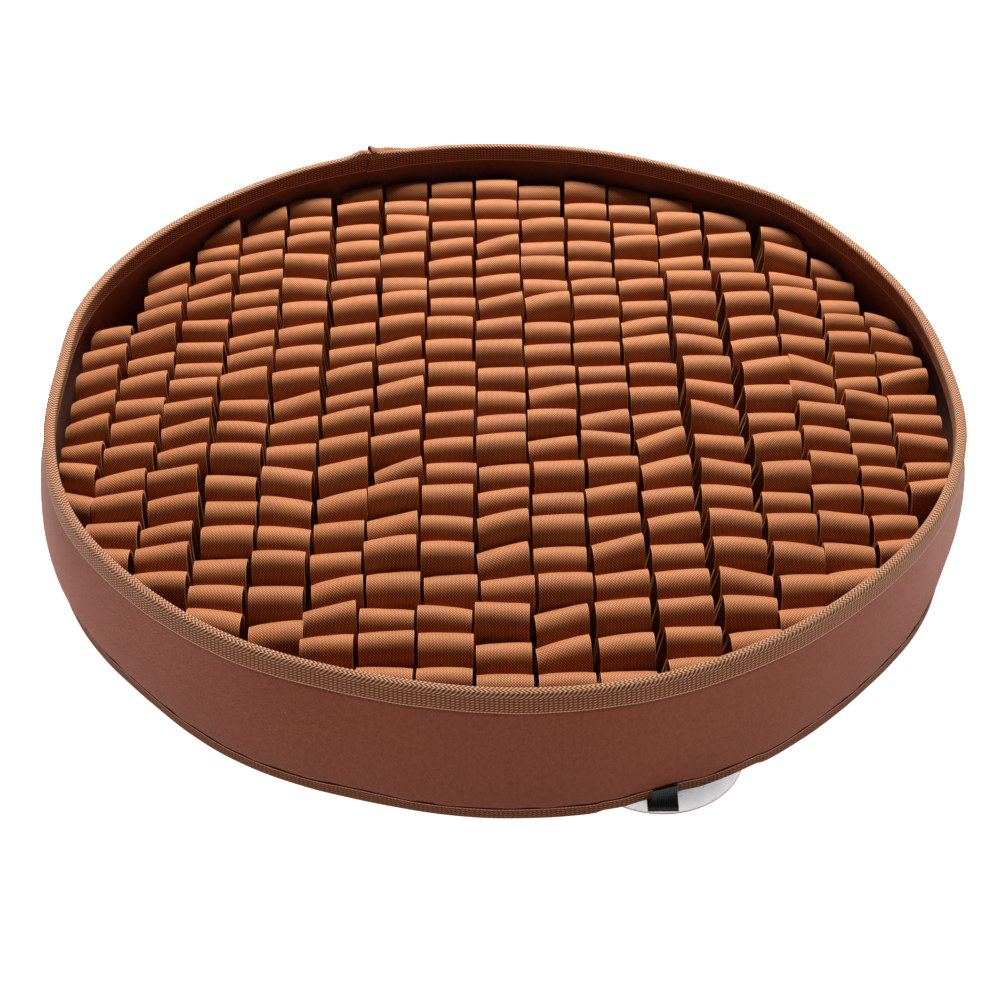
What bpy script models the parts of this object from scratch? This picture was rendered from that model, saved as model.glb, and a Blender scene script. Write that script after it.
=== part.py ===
"""Round snuffle mat: a shallow cloth tray filled with standing loops of webbing.

A low wall of oxford cloth stands on a round base panel. Binding tape is folded over the
top of the wall, with its end lapped at the back left, and a second tape binds the bottom
seam. Inside, seventeen strips of webbing run from back to front, each folded up and down
into a row of tall loops. A clear suction cup lies under the front edge on a black tab.

Lengths are in millimetres and become metres where the points are made. Azimuths are in
degrees, from +X (right) towards +Y (back). The front of the mat faces -Y.
"""

import math
import random

import bmesh
import bpy

MM = 0.001
GAP = 0.3                    # clearance between pieces that are sewn or lie together

# Middle of the tray's plan in the part's frame. The plan is a little deeper at the front,
# so it stands this far behind the middle of the whole.
TRAY_X = 0.7
TRAY_Y = 2.05

# Plan of the wall, a row for every 15 degrees of azimuth.
OUTLINE_STEP = 15
OUTLINE = (
    # rim radius, foot radius, how far the wall swells outwards between them
    (215.0, 219.4, 2.2),    # right
    (214.8, 219.8, 1.8),
    (215.7, 220.4, 1.6),
    (218.6, 220.6, 1.6),
    (214.6, 220.4, 1.6),
    (215.4, 220.2, 1.6),
    (215.7, 220.4, 1.6),    # back
    (217.3, 220.6, 1.6),
    (219.6, 221.2, 1.6),
    (218.9, 221.3, 1.6),
    (219.4, 221.0, 1.8),
    (217.9, 220.3, 2.4),
    (212.7, 219.8, 4.2),    # left
    (215.4, 219.8, 5.1),
    (218.8, 221.3, 5.2),
    (218.3, 220.2, 2.8),
    (218.4, 222.9, 2.0),
    (216.8, 222.3, 1.7),
    (218.6, 224.5, 1.7),    # front
    (220.4, 225.0, 1.7),
    (219.6, 223.0, 1.7),
    (219.1, 220.2, 1.9),
    (220.4, 220.9, 2.4),
    (219.2, 218.6, 4.6),
)
RING_STEPS = 40              # facets of every ring around the tray

# Wall, base panel and the two bindings.
RIM_HEIGHT = 66.0
CLOTH_THICK = 2.0
TAPE_THICK = 1.0
RIM_TAPE_LEG = 8.5           # how far the tape comes down on each side of the rim
FOLD_ROUND = 0.6             # the tape's corners on top of the rim
SEAM_HEIGHT = 6.4            # top of the bottom binding, which stands on the floor
SEAM_WIDTH = 4.6
SEAM_ROUND = 0.6
SEAM_LEG = 1.4               # thickness of the part that rises with the wall over the cup
BARE_HEIGHT = RIM_HEIGHT - RIM_TAPE_LEG - SEAM_HEIGHT    # of the wall, between its bindings
WALL_ROWS = (0.0, 0.3, 0.68, 1.0)    # shares of the bare wall's height with a row of points
BASE_INSET = 0.5             # between the base panel's edge and the wall's inner face

# Lap of the rim tape at the back left.
LAP_START = 108.0            # the tape's first end, tucked under
LAP_END = 110.8              # its last end, on top
LAP_PEAK = 2.2               # the lapped end pokes up above the rim
LAP_LIFT = 1.7               # from the middle of the lower tape to the middle of the upper

# Webbing strips, a row each from left to right. Each gives the left edge of its crowns at
# the rear, the middle and the front of the tray, the places of its rearmost and foremost
# crowns, and the slope of each crown in degrees, from rear to front, up towards the right.
PLAN_REACH = 150.0           # how far the rear and front places of an edge are from the middle
STRIPS = (
    # left edge (rear, middle, front), rear crown, front crown, slopes
    ((-207.0, -209.0, -206.0), 55.0, -75.0, (12, 14, 16, 19, 19, 10, -4, -11)),
    ((-186.0, -186.0, -184.5), 107.0, -116.0,
     (22, 20, 18, 18, 13, 14, 6, 13, 9, 15, 10, 3, 0)),
    ((-163.5, -161.5, -159.5), 150.0, -133.0,
     (20, 11, 8, 20, 14, 2, 1, 2, 5, 10, 16, 14, 11, 12, 12, 10, 3)),
    ((-140.5, -136.0, -132.8), 167.0, -159.0,
     (21, 12, 12, 10, 9, 9, 13, 14, 13, 1, -4, -1, -3, 0, 2, 2, -1, -8)),
    ((-116.0, -111.3, -107.3), 180.0, -161.0,
     (4, 5, 9, -2, -4, 3, 10, 7, 9, 17, 12, 5, -8, -9, -5, -1, 0, 8)),
    ((-89.3, -85.2, -82.8), 194.0, -194.0,
     (14, 8, 5, 5, 6, 6, 10, 8, 9, 14, 13, 14, 11, 14, 15, 6, 5, 14, 14, 5, 4)),
    ((-63.3, -60.9, -59.4), 200.0, -191.0,
     (8, 1, -3, 8, 5, 0, 5, 8, 15, 9, 15, 11, 11, 21, 12, 14, 9, 4, -2, 4, -2)),
    ((-38.2, -36.2, -34.9), 198.0, -191.0,
     (4, 0, 3, 8, 9, 4, 1, 0, 2, 2, 1, 5, 5, 1, 2, -3, -1, 4, -6, -1, 0)),
    ((-13.2, -11.4, -10.6), 197.0, -194.0,
     (0, 0, 0, 16, 9, 7, 13, 7, 2, 2, -2, 4, 5, 5, 9, 14, 16, 7, -3, 3, 0)),
    ((11.2, 13.2, 14.4), 197.0, -193.0,
     (0, 0, 5, 2, 0, -3, 11, 0, 3, 3, 10, 1, 9, 2, 3, 3, 2, 2, 15, 17, 2)),
    ((36.7, 38.0, 39.6), 196.0, -190.0,
     (-7, 0, -4, -3, -2, 4, 1, 5, 2, 2, 4, 10, -6, 4, 10, 7, 16, 8, 6, 7, 1)),
    ((61.3, 63.0, 66.2), 194.0, -187.0,
     (-9, -2, -3, 4, -4, 5, 2, 10, 7, -1, 2, 8, 19, 14, 7, 10, 3, 5, 5, 1, 3)),
    ((85.6, 90.0, 93.6), 180.0, -170.0,
     (-7, -2, 11, 5, 0, 0, -9, -9, -1, -9, -15, -5, -10, -5, -7, -4, -12, -3, 6)),
    ((111.8, 118.2, 117.4), 161.0, -155.0,
     (-12, 5, -2, -2, 2, 4, 8, 9, 1, 0, 5, 2, -3, 0, -8, 1, 5)),
    ((141.4, 142.0, 141.0), 144.0, -132.0,
     (-10, -17, -12, -8, -15, -8, -18, -12, -7, -8, -7, 0, -7, -6, 7)),
    ((166.5, 164.8, 165.0), 114.0, -111.0,
     (-20, -9, -2, -4, -2, -4, 3, -12, -6, -5, -5, -8, 0, 5)),
    ((186.4, 186.0, 185.6), 60.0, -72.0, (-20, -18, -8, 12, 0, -3, -9, 0, 7)),
)
STRIP_WIDTH = 23.4           # webbing of 25 mm nominal width
STRIP_PARTING = 1.0          # least space between the edges of neighbouring strips
STRIP_THICK = 1.2
STRIPS_RIGHT_EDGE = 209.0
SEWN_LEFT_X = -209.0         # left edge of the first strip where it is sewn down
SEWN_PITCH = 24.6            # from one sewn strip to the next
CROWN_Z = 50.0               # mean height of the crowns' tops
CROWN_Z_SPREAD = 2.6         # how far a loop stands above or below that
CROWN_LEAN_SPREAD = 1.0      # how far a crown leans to the front or back
LOOP_HALF_WIDTH = 8.6        # to the middle of the webbing's thickness
LOOP_PARTING = 1.5           # between the sheets of two loops, side by side
VALLEY_WIDTH = 2.0           # the sewn turn between two loops
ARCH_SEGMENTS = 3
SLOPE_TO_RISE = 0.65         # share of a crown's slope that is a difference in height
SLOPE_TO_YAW = 0.55          # and the share that is a turn of the crown in plan
WALL_CLEARANCE = 1.0         # between the loops and the wall's inner face
UNEVENNESS_SEED = 7

# Suction cup and its tab, at the front right.
CUP_AZIMUTH = 289.5
CUP_CENTRE_RADIUS = 196.7
CUP_PROFILE = (
    # radius, height: from the knob's top over the dish to the hollow beneath
    (0.0, 5.9),
    (4.4, 5.9),
    (5.0, 5.4),
    (5.0, 3.2),
    (8.0, 2.2),
    (14.0, 1.5),
    (22.0, 1.1),
    (35.6, 1.0),
    (36.8, 0.6),
    (36.8, 0.0),
    (34.4, 0.0),
    (28.0, 0.2),
    (0.0, 0.4),
)
CUP_STEPS = 32
TAB_AZIMUTH = 287.0          # where the tab's middle hangs on the seam
SEAM_LIFTS = (
    # azimuth, height, half the arc at full height, half the whole arc
    (CUP_AZIMUTH, 1.4, 8.9, 10.1),       # over the cup's dish
    (TAB_AZIMUTH, 1.3, 2.2, 4.6),        # and over the tab that lies on it
)
TOP_LIFT = 0.75              # share of the lift by which the seam's top rises too
LIFT_STATIONS = (279.4, 280.6, 282.4, 284.8, 289.2, 291.6, 298.4, 299.6)
TAB_WIDTH = 12.0
TAB_THICK = 1.0
TAB_PATH = (
    # distance to the front of the seam's face, height, and how square to the front the
    # row runs: 0 along the seam, 1 square
    (1.05, 6.2, 0.0),
    (1.1, 4.4, 0.0),
    (1.9, 3.6, 0.3),
    (3.6, 3.3, 0.7),
    (5.6, 3.2, 1.0),
    (6.4, 2.55, 1.0),
    (5.6, 1.9, 1.0),
    (-7.0, 1.9, 1.0),
    (-15.0, 2.3, 1.0),
    (-20.0, 2.9, 1.0),
    (-22.0, 3.4, 1.0),
)

COLLECTION = "snuffle_mat"


# --- Shapes and helpers ------------------------------------------------------

def smoothstep(x):
    x = min(max(x, 0.0), 1.0)
    return x * x * (3.0 - 2.0 * x)


def outline_radius(azimuth, column):
    """Radius of the tray's plan, smooth through the rows of OUTLINE."""
    place = (azimuth % 360.0) / OUTLINE_STEP
    row = int(place)
    t = place - row
    count = len(OUTLINE)
    before, here, after, beyond = (OUTLINE[(row + k) % count][column] for k in (-1, 0, 1, 2))
    slope_in = 0.5 * (after - before)
    slope_out = 0.5 * (beyond - here)
    rise = after - here
    return (here + slope_in * t + (3 * rise - 2 * slope_in - slope_out) * t ** 2
            + (slope_in + slope_out - 2 * rise) * t ** 3)


def rim_radius(azimuth):
    return outline_radius(azimuth, 0)


def foot_radius(azimuth):
    return outline_radius(azimuth, 1)


def wall_swell(azimuth):
    return outline_radius(azimuth, 2)


def seam_lift(azimuth):
    """How far the bottom seam is raised where it passes over the suction cup and its tab."""
    lift = 0.0
    for middle, height, flat, end in SEAM_LIFTS:
        away = abs((azimuth - middle + 180.0) % 360.0 - 180.0)
        lift += height * (1.0 - smoothstep((away - flat) / (end - flat)))
    return lift


def seam_top(azimuth):
    return SEAM_HEIGHT + TOP_LIFT * seam_lift(azimuth)


def polar(azimuth, radius, z):
    a = math.radians(azimuth)
    return (radius * math.cos(a) * MM, radius * math.sin(a) * MM, z * MM)


def material(name, colour, roughness, alpha=1.0):
    made = bpy.data.materials.new(name)
    made.use_nodes = True
    shader = made.node_tree.nodes["Principled BSDF"]
    shader.inputs["Base Color"].default_value = (*colour, 1.0)
    shader.inputs["Roughness"].default_value = roughness
    shader.inputs["Metallic"].default_value = 0.0
    shader.inputs["Alpha"].default_value = alpha
    return made


def add_object(name, mesh, finish, collection, parent):
    """Put a mesh in the collection, standing on the tray's own middle."""
    made = bpy.data.objects.new(name, mesh)
    made.data.materials.append(finish)
    collection.objects.link(made)
    made.parent = parent
    return made


def solidify(thing, thickness):
    shell = thing.modifiers.new("thickness", "SOLIDIFY")
    shell.thickness = thickness * MM
    shell.offset = 0.0
    shell.use_even_offset = True


def sweep_mesh(name, rows, closed_along, closed_across):
    """A mesh of quads through rows of points, each row one section of the sweep."""
    mesh = bpy.data.meshes.new(name)
    bm = bmesh.new()
    grid = [[bm.verts.new(point) for point in row] for row in rows]
    across = len(rows[0])
    for j in range(len(rows) if closed_along else len(rows) - 1):
        here = grid[j]
        there = grid[(j + 1) % len(rows)]
        for k in range(across if closed_across else across - 1):
            after = (k + 1) % across
            bm.faces.new((here[k], there[k], there[after], here[after]))
    bmesh.ops.recalc_face_normals(bm, faces=bm.faces)
    bm.to_mesh(mesh)
    bm.free()
    return mesh


def ring_azimuths(start=0.0):
    return [start + 360.0 * j / RING_STEPS for j in range(RING_STEPS)]


def foot_azimuths():
    """The ring's azimuths, closer together where the seam is raised."""
    return sorted(ring_azimuths() + list(LIFT_STATIONS))


def section_rows(section, azimuths):
    """Sections of (radius, z) points, placed around the tray as rows of points."""
    return [[polar(a, r, z) for r, z in section(a)] for a in azimuths]


# --- Wall, base and bindings -------------------------------------------------

def rim_middle(azimuth):
    """Radius of the middle of the wall's cloth at its top edge."""
    return rim_radius(azimuth) - TAPE_THICK - GAP - 0.5 * CLOTH_THICK


def wall_middle(azimuth, z):
    """Radius of the middle of the wall's cloth at a height."""
    bottom = foot_radius(azimuth) - 0.5 * CLOTH_THICK
    share = (z - SEAM_HEIGHT) / (RIM_HEIGHT - SEAM_HEIGHT)
    bare = min((z - SEAM_HEIGHT) / BARE_HEIGHT, 1.0)
    swell = 4.0 * wall_swell(azimuth) * bare * (1.0 - bare)
    return bottom + (rim_middle(azimuth) - bottom) * share + swell


def wall_section(azimuth):
    """Middle line of the wall's cloth, straight where the rim tape covers it."""
    slope = 4.0 * wall_swell(azimuth) / BARE_HEIGHT
    low = seam_top(azimuth) + GAP + 0.5 * CLOTH_THICK * slope
    under_tape = RIM_HEIGHT - RIM_TAPE_LEG
    heights = [low + (under_tape - low) * share for share in WALL_ROWS]
    points = [(wall_middle(azimuth, z), z) for z in heights]
    return points + [(rim_middle(azimuth), RIM_HEIGHT - TAPE_THICK - GAP)]


def make_wall(finish, collection, parent):
    mesh = sweep_mesh("wall", section_rows(wall_section, foot_azimuths()), True, False)
    solidify(add_object("wall", mesh, finish, collection, parent), CLOTH_THICK)


def base_radius(azimuth):
    return wall_middle(azimuth, SEAM_HEIGHT) - 0.5 * CLOTH_THICK - BASE_INSET


def make_base(finish, collection, parent):
    mesh = bpy.data.meshes.new("base")
    bm = bmesh.new()
    z = SEAM_HEIGHT + GAP + 0.5 * CLOTH_THICK
    bm.faces.new([bm.verts.new(polar(a, base_radius(a), z)) for a in ring_azimuths()])
    bm.to_mesh(mesh)
    bm.free()
    solidify(add_object("base_panel", mesh, finish, collection, parent), CLOTH_THICK)


def rim_tape_section(azimuth, spread, peak):
    """The folded tape in section: outer leg, rounded top, inner leg."""
    top = RIM_HEIGHT - 0.5 * TAPE_THICK + spread + peak
    low = RIM_HEIGHT - RIM_TAPE_LEG
    away = 0.5 * CLOTH_THICK + GAP + 0.5 * TAPE_THICK + spread
    middle = rim_middle(azimuth)
    middle_low = wall_middle(azimuth, low)
    return [
        (middle_low + away, low),
        (middle + away, top - FOLD_ROUND),
        (middle + away - FOLD_ROUND, top),
        (middle - away + FOLD_ROUND, top),
        (middle - away, top - FOLD_ROUND),
        (middle_low - away, low),
    ]


def make_rim_binding(finish, collection, parent):
    """One turn of tape whose last end lies over its first."""
    rows = []
    once = sorted((azimuth - LAP_START) % 360.0 for azimuth in foot_azimuths())
    for turned in once + [360.0, LAP_END - LAP_START + 360.0]:
        azimuth = LAP_START + turned
        spread = LAP_LIFT if turned >= 360.0 else 0.0
        peak = LAP_PEAK if turned > 360.0 else 0.0
        rows.append([polar(azimuth, r, z) for r, z in rim_tape_section(azimuth, spread, peak)])
    mesh = sweep_mesh("rim_binding", rows, False, False)
    solidify(add_object("rim_binding", mesh, finish, collection, parent), TAPE_THICK)


def seam_section(azimuth):
    """The bound seam in section, flat where it stands on the floor."""
    outer = foot_radius(azimuth)
    inner = outer - SEAM_WIDTH
    low = seam_lift(azimuth)
    return [
        (outer, seam_top(azimuth)),
        (outer, low + SEAM_ROUND),
        (outer - SEAM_ROUND, low),
        (inner + SEAM_ROUND, low),
        (inner, low + SEAM_ROUND),
        (inner, SEAM_HEIGHT),
        (outer - SEAM_LEG - GAP, SEAM_HEIGHT),
        (outer - SEAM_LEG, seam_top(azimuth)),
    ]


def make_bottom_binding(finish, collection, parent):
    rows = section_rows(seam_section, foot_azimuths())
    mesh = sweep_mesh("bottom_binding", rows, True, True)
    add_object("bottom_binding", mesh, finish, collection, parent)


# --- Webbing strips ----------------------------------------------------------

def inside_wall(x, y):
    """The point itself, or drawn in to where the wall would press it."""
    azimuth = math.degrees(math.atan2(y, x))
    inner_face = rim_radius(azimuth) - TAPE_THICK - GAP - CLOTH_THICK
    limit = inner_face - WALL_CLEARANCE - 0.5 * STRIP_THICK
    reach = math.hypot(x, y)
    draw_in = min(1.0, limit / reach)
    return x * draw_in, y * draw_in


def left_edge(number, y):
    """Left edge of a strip's crowns, on a smooth bow through its three places."""
    rear, middle, front = STRIPS[number][0]
    share = y / PLAN_REACH
    return middle + 0.5 * (rear - front) * share + (0.5 * (rear + front) - middle) * share ** 2


def crown_edges(number, y):
    """Left and right edge of a strip at its crowns, at a distance from front to back."""
    left = left_edge(number, y)
    if number + 1 < len(STRIPS):
        limit = left_edge(number + 1, y) - STRIP_PARTING
    else:
        limit = STRIPS_RIGHT_EDGE
    return left, min(left + STRIP_WIDTH, limit)


def strip_layout(number, dice):
    """Each loop of a strip: sewn middle, and crown (y, z) at its left and right edge."""
    _, rear, front, slopes = STRIPS[number]
    loops = []
    for k, slope in enumerate(slopes):
        middle = rear + (front - rear) * k / (len(slopes) - 1)
        tangent = math.tan(math.radians(slope))
        rise = 0.5 * STRIP_WIDTH * SLOPE_TO_RISE * tangent
        yaw = 0.5 * STRIP_WIDTH * SLOPE_TO_YAW * tangent
        z = CROWN_Z + dice.uniform(-CROWN_Z_SPREAD, CROWN_Z_SPREAD)
        y = middle + dice.uniform(-CROWN_LEAN_SPREAD, CROWN_LEAN_SPREAD)
        loops.append((middle, ((y - yaw, z - rise), (y + yaw, z + rise))))
    return loops


def strip_edge_path(loops, side):
    """(y, z, level) along one edge of the ribbon; level is 0 sewn down, 1 at the crown."""
    sewn_z = SEAM_HEIGHT + 2.0 * GAP + CLOTH_THICK + 0.5 * STRIP_THICK
    pitch = loops[0][0] - loops[1][0]
    fullness = 1.0 / math.sin(math.pi * (ARCH_SEGMENTS // 2) / ARCH_SEGMENTS)
    path = []
    for k, (middle, crowns) in enumerate(loops):
        y, top = crowns[side]
        nearest = min(abs(crowns[side][0] - loops[n][1][side][0])
                      for n in (k - 1, k + 1) if 0 <= n < len(loops))
        half = min(LOOP_HALF_WIDTH, 0.5 * (nearest - LOOP_PARTING - STRIP_THICK))
        shoulder = top - 0.5 * STRIP_THICK - half
        sewn_half = 0.5 * (pitch - VALLEY_WIDTH)
        path.append((middle + sewn_half, sewn_z, 0.0))
        for step in range(ARCH_SEGMENTS + 1):
            turn = math.pi * step / ARCH_SEGMENTS
            path.append((y + half * math.cos(turn),
                         shoulder + half * fullness * math.sin(turn), 1.0))
        path.append((middle - sewn_half, sewn_z, 0.0))
    return path


def strip_rows(number, dice):
    """Pairs of points, left and right edge, along the folded strip."""
    loops = strip_layout(number, dice)
    paths = [strip_edge_path(loops, side) for side in (0, 1)]
    rows = []
    for points in zip(*paths):
        row = []
        for side, (y, z, level) in enumerate(points):
            sewn_x = SEWN_LEFT_X + SEWN_PITCH * number + side * STRIP_WIDTH
            x = level * crown_edges(number, y)[side] + (1.0 - level) * sewn_x
            x, y = inside_wall(x, y)
            row.append((x * MM, y * MM, z * MM))
        rows.append(row)
    return rows


def make_strips(finish, collection, parent):
    dice = random.Random(UNEVENNESS_SEED)
    for number in range(len(STRIPS)):
        name = f"webbing_strip_{number + 1:02d}"
        mesh = sweep_mesh(name, strip_rows(number, dice), False, False)
        solidify(add_object(name, mesh, finish, collection, parent), STRIP_THICK)


# --- Suction cup -------------------------------------------------------------

def make_cup(finish, collection, parent):
    mesh = bpy.data.meshes.new("suction_cup")
    bm = bmesh.new()
    points = [bm.verts.new((r * MM, 0.0, z * MM)) for r, z in CUP_PROFILE]
    for here, there in zip(points, points[1:]):
        bm.edges.new((here, there))
    bm.to_mesh(mesh)
    bm.free()
    cup = add_object("suction_cup", mesh, finish, collection, parent)
    cup.location = polar(CUP_AZIMUTH, CUP_CENTRE_RADIUS, 0.0)
    turn = cup.modifiers.new("turned", "SCREW")
    turn.axis = "Z"
    turn.steps = CUP_STEPS
    turn.render_steps = CUP_STEPS
    turn.use_merge_vertices = True
    turn.merge_threshold = 0.01 * MM
    turn.use_smooth_shade = True


def make_tab(finish, collection, parent):
    """A short strap down over the seam, out onto the cup, and back under to its knob."""
    reach = foot_radius(TAB_AZIMUTH)
    middle = reach * math.cos(math.radians(TAB_AZIMUTH))
    rows = []
    for out, z, square in TAB_PATH:
        row = []
        for side in (-0.5, 0.5):
            x = middle + side * TAB_WIDTH
            seam = math.sqrt(reach ** 2 - x ** 2)
            seam_middle = math.sqrt(reach ** 2 - middle ** 2)
            y = -(seam + (seam_middle - seam) * square) - out
            row.append((x * MM, y * MM, z * MM))
        rows.append(row)
    mesh = sweep_mesh("cup_tab", rows, False, False)
    solidify(add_object("cup_tab", mesh, finish, collection, parent), TAB_THICK)


# --- The whole mat -----------------------------------------------------------

def main():
    for old in list(bpy.data.objects):
        bpy.data.objects.remove(old, do_unlink=True)
    collection = bpy.data.collections.new(COLLECTION)
    bpy.context.scene.collection.children.link(collection)
    tray = bpy.data.objects.new("tray_middle", None)
    tray.location = (TRAY_X * MM, TRAY_Y * MM, 0.0)
    collection.objects.link(tray)

    oxford = material("oxford_cloth", (0.23, 0.10, 0.075), 0.8)
    tape = material("binding_tape", (0.26, 0.13, 0.065), 0.85)
    webbing = material("webbing", (0.48, 0.17, 0.065), 0.75)
    clear = material("clear_vinyl", (0.9, 0.9, 0.92), 0.12, alpha=0.4)
    black = material("black_webbing", (0.02, 0.02, 0.02), 0.8)

    make_wall(oxford, collection, tray)
    make_base(oxford, collection, tray)
    make_rim_binding(tape, collection, tray)
    make_bottom_binding(tape, collection, tray)
    make_strips(webbing, collection, tray)
    make_cup(clear, collection, tray)
    make_tab(black, collection, tray)


main()
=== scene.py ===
"""Looks of the snuffle mat: woven webbing loops in a bound cloth tray, and a clear suction cup.

Lengths are in millimetres and become metres where the points are made. Azimuths are in
degrees, from +X (right) towards +Y (back). The front of the mat faces -Y.
"""

import math
import random

import bmesh
import bpy
from mathutils import Matrix, Vector


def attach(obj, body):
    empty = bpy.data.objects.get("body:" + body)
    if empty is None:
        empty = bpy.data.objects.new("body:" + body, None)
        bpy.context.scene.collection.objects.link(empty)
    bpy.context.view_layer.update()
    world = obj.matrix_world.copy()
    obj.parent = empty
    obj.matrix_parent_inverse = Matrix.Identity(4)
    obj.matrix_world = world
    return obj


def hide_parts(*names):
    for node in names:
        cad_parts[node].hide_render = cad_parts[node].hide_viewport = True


MM = 0.001
TURN = 360.0
GAP = 0.3                    # left between pieces that are sewn together
TRAY_X = 0.7                 # middle of the tray in the part's frame
TRAY_Y = 2.05

# --- Sizes shared with the solids -----------------------------------------------------

OUTLINE_STEP = 15
OUTLINE = (
    # rim radius, foot radius, how far the wall swells outwards between them
    (215.0, 219.4, 2.2),    # right
    (214.8, 219.8, 1.8),
    (215.7, 220.4, 1.6),
    (218.6, 220.6, 1.6),
    (214.6, 220.4, 1.6),
    (215.4, 220.2, 1.6),
    (215.7, 220.4, 1.6),    # back
    (217.3, 220.6, 1.6),
    (219.6, 221.2, 1.6),
    (218.9, 221.3, 1.6),
    (219.4, 221.0, 1.8),
    (217.9, 220.3, 2.4),
    (212.7, 219.8, 4.2),    # left
    (215.4, 219.8, 5.1),
    (218.8, 221.3, 5.2),
    (218.3, 220.2, 2.8),
    (218.4, 222.9, 2.0),
    (216.8, 222.3, 1.7),
    (218.6, 224.5, 1.7),    # front
    (220.4, 225.0, 1.7),
    (219.6, 223.0, 1.7),
    (219.1, 220.2, 1.9),
    (220.4, 220.9, 2.4),
    (219.2, 218.6, 4.6),
)
RIM_HEIGHT = 66.0
CLOTH_THICK = 2.0
TAPE_THICK = 1.0
RIM_TAPE_LEG = 8.5
SEAM_HEIGHT = 6.4
SEAM_WIDTH = 4.6
BARE_HEIGHT = RIM_HEIGHT - RIM_TAPE_LEG - SEAM_HEIGHT
BASE_INSET = 0.5
LAP_START = 108.0            # azimuth of the rim tape's first end
LAP_END = 110.8              # and of its last end, a full turn on
LAP_LENGTH = LAP_END - LAP_START
LAP_PEAK = 2.2               # the last end rises by this much
LAP_LIFT = 1.7               # and lies this far off the first
LAP_HUMP = 2.8               # the first end is pushed up at the edge of the last one
LAP_SLANT = 0.8              # degrees by which the last end is cut back at its fold

PLAN_REACH = 150.0           # a strip's rear and front places lie this far from the middle
STRIPS = (
    # left edge (rear, middle, front), rear crown, front crown, each loop's slope in degrees
    ((-207.0, -209.0, -206.0), 55.0, -75.0, (12, 14, 16, 19, 19, 10, -4, -11)),
    ((-186.0, -186.0, -184.5), 107.0, -116.0,
     (22, 20, 18, 18, 13, 14, 6, 13, 9, 15, 10, 3, 0)),
    ((-163.5, -161.5, -159.5), 150.0, -133.0,
     (20, 11, 8, 20, 14, 2, 1, 2, 5, 10, 16, 14, 11, 12, 12, 10, 3)),
    ((-140.5, -136.0, -132.8), 167.0, -159.0,
     (21, 12, 12, 10, 9, 9, 13, 14, 13, 1, -4, -1, -3, 0, 2, 2, -1, -8)),
    ((-116.0, -111.3, -107.3), 180.0, -161.0,
     (4, 5, 9, -2, -4, 3, 10, 7, 9, 17, 12, 5, -8, -9, -5, -1, 0, 8)),
    ((-89.3, -85.2, -82.8), 194.0, -194.0,
     (14, 8, 5, 5, 6, 6, 10, 8, 9, 14, 13, 14, 11, 14, 15, 6, 5, 14, 14, 5, 4)),
    ((-63.3, -60.9, -59.4), 200.0, -191.0,
     (8, 1, -3, 8, 5, 0, 5, 8, 15, 9, 15, 11, 11, 21, 12, 14, 9, 4, -2, 4, -2)),
    ((-38.2, -36.2, -34.9), 198.0, -191.0,
     (4, 0, 3, 8, 9, 4, 1, 0, 2, 2, 1, 5, 5, 1, 2, -3, -1, 4, -6, -1, 0)),
    ((-13.2, -11.4, -10.6), 197.0, -194.0,
     (0, 0, 0, 16, 9, 7, 13, 7, 2, 2, -2, 4, 5, 5, 9, 14, 16, 7, -3, 3, 0)),
    ((11.2, 13.2, 14.4), 197.0, -193.0,
     (0, 0, 5, 2, 0, -3, 11, 0, 3, 3, 10, 1, 9, 2, 3, 3, 2, 2, 15, 17, 2)),
    ((36.7, 38.0, 39.6), 196.0, -190.0,
     (-7, 0, -4, -3, -2, 4, 1, 5, 2, 2, 4, 10, -6, 4, 10, 7, 16, 8, 6, 7, 1)),
    ((61.3, 63.0, 66.2), 194.0, -187.0,
     (-9, -2, -3, 4, -4, 5, 2, 10, 7, -1, 2, 8, 19, 14, 7, 10, 3, 5, 5, 1, 3)),
    ((85.6, 90.0, 93.6), 180.0, -170.0,
     (-7, -2, 11, 5, 0, 0, -9, -9, -1, -9, -15, -5, -10, -5, -7, -4, -12, -3, 6)),
    ((111.8, 118.2, 117.4), 161.0, -155.0,
     (-12, 5, -2, -2, 2, 4, 8, 9, 1, 0, 5, 2, -3, 0, -8, 1, 5)),
    ((141.4, 142.0, 141.0), 144.0, -132.0,
     (-10, -17, -12, -8, -15, -8, -18, -12, -7, -8, -7, 0, -7, -6, 7)),
    ((166.5, 164.8, 165.0), 114.0, -111.0,
     (-20, -9, -2, -4, -2, -4, 3, -12, -6, -5, -5, -8, 0, 5)),
    ((186.4, 186.0, 185.6), 60.0, -72.0, (-20, -18, -8, 12, 0, -3, -9, 0, 7)),
)
STRIP_WIDTH = 23.4
STRIP_PARTING = 1.0          # least gap from one strip's crowns to the next strip's
STRIP_THICK = 1.2
STRIPS_RIGHT_EDGE = 209.0
SEWN_LEFT_X = -209.0         # the strips are sewn down side by side from here
SEWN_PITCH = 24.6
SEWN_Z = SEAM_HEIGHT + 2.0 * GAP + CLOTH_THICK + 0.5 * STRIP_THICK
CROWN_Z = 50.0
CROWN_Z_SPREAD = 2.6         # how far a crown may stand up or down
CROWN_LEAN_SPREAD = 1.0      # and lean to the front or the back
LOOP_HALF_WIDTH = 8.6
LOOP_PARTING = 1.5           # least gap from one crown to the next in a strip
VALLEY_WIDTH = 2.0           # of the webbing that is sewn down between two loops
SLOPE_TO_RISE = 0.65         # how much of a slope is a rise of the crown's right end
SLOPE_TO_YAW = 0.55          # and how much is a turn of that end to the back
WALL_CLEARANCE = 1.0         # from the webbing to the wall
UNEVENNESS_SEED = 7

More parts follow.
